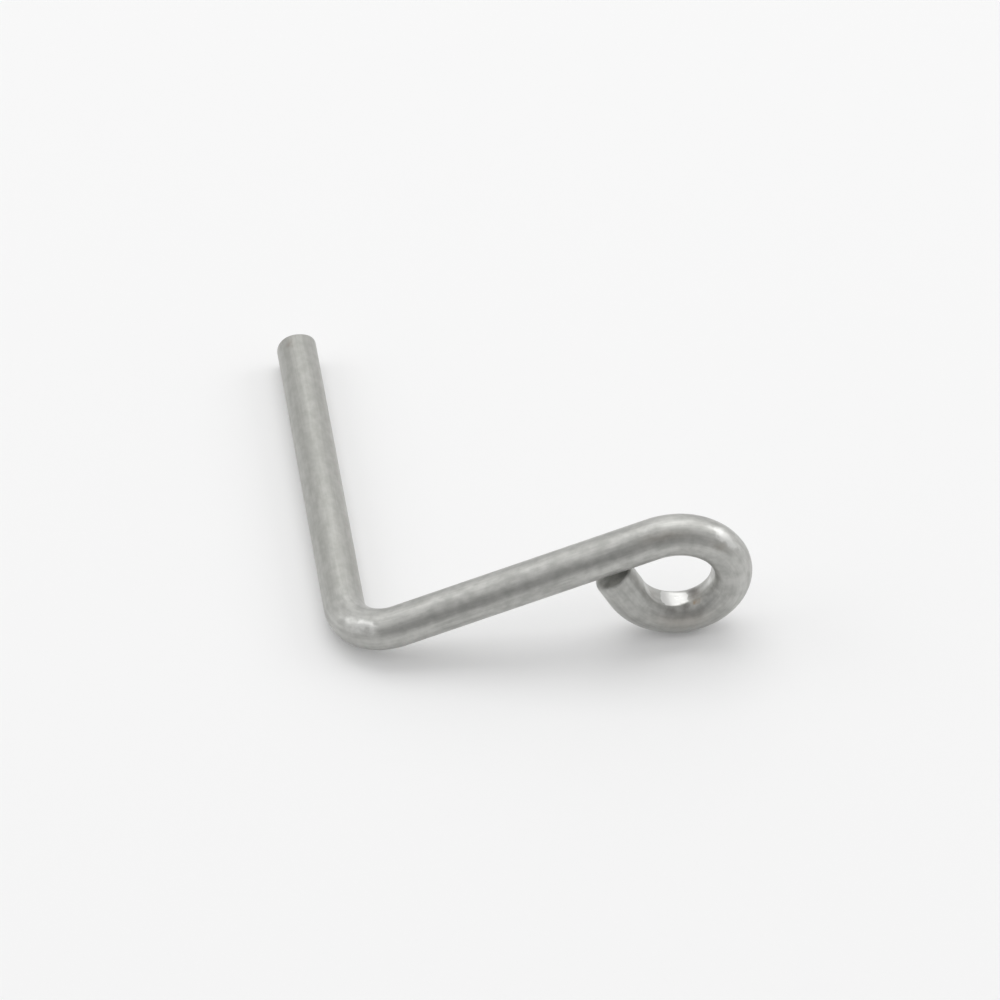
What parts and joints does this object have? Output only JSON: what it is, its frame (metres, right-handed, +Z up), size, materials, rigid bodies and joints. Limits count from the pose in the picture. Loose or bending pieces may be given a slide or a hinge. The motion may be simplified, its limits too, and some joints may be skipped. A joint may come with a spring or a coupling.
{
  "type": "bent wire form",
  "caption": "Round steel wire bent square into a long straight pin and a short arm, with the arm's end curled down into a closed eye for a screw.",
  "frame": {"origin": "middle of the hole through the eye", "axes": "+Y along the pin towards its tip, +Z up as the wire lies on a table, +X from the pin's side towards the eye"},
  "size_m": [0.0204, 0.0225, 0.0071],
  "materials": {
    "steel_wire": "satin grey drawn wire, with fine lines along it and rubbed marks at the bends"
  },
  "bodies": {
    "root": {"wire_form": "steel_wire"}
  },
  "joints": []
}
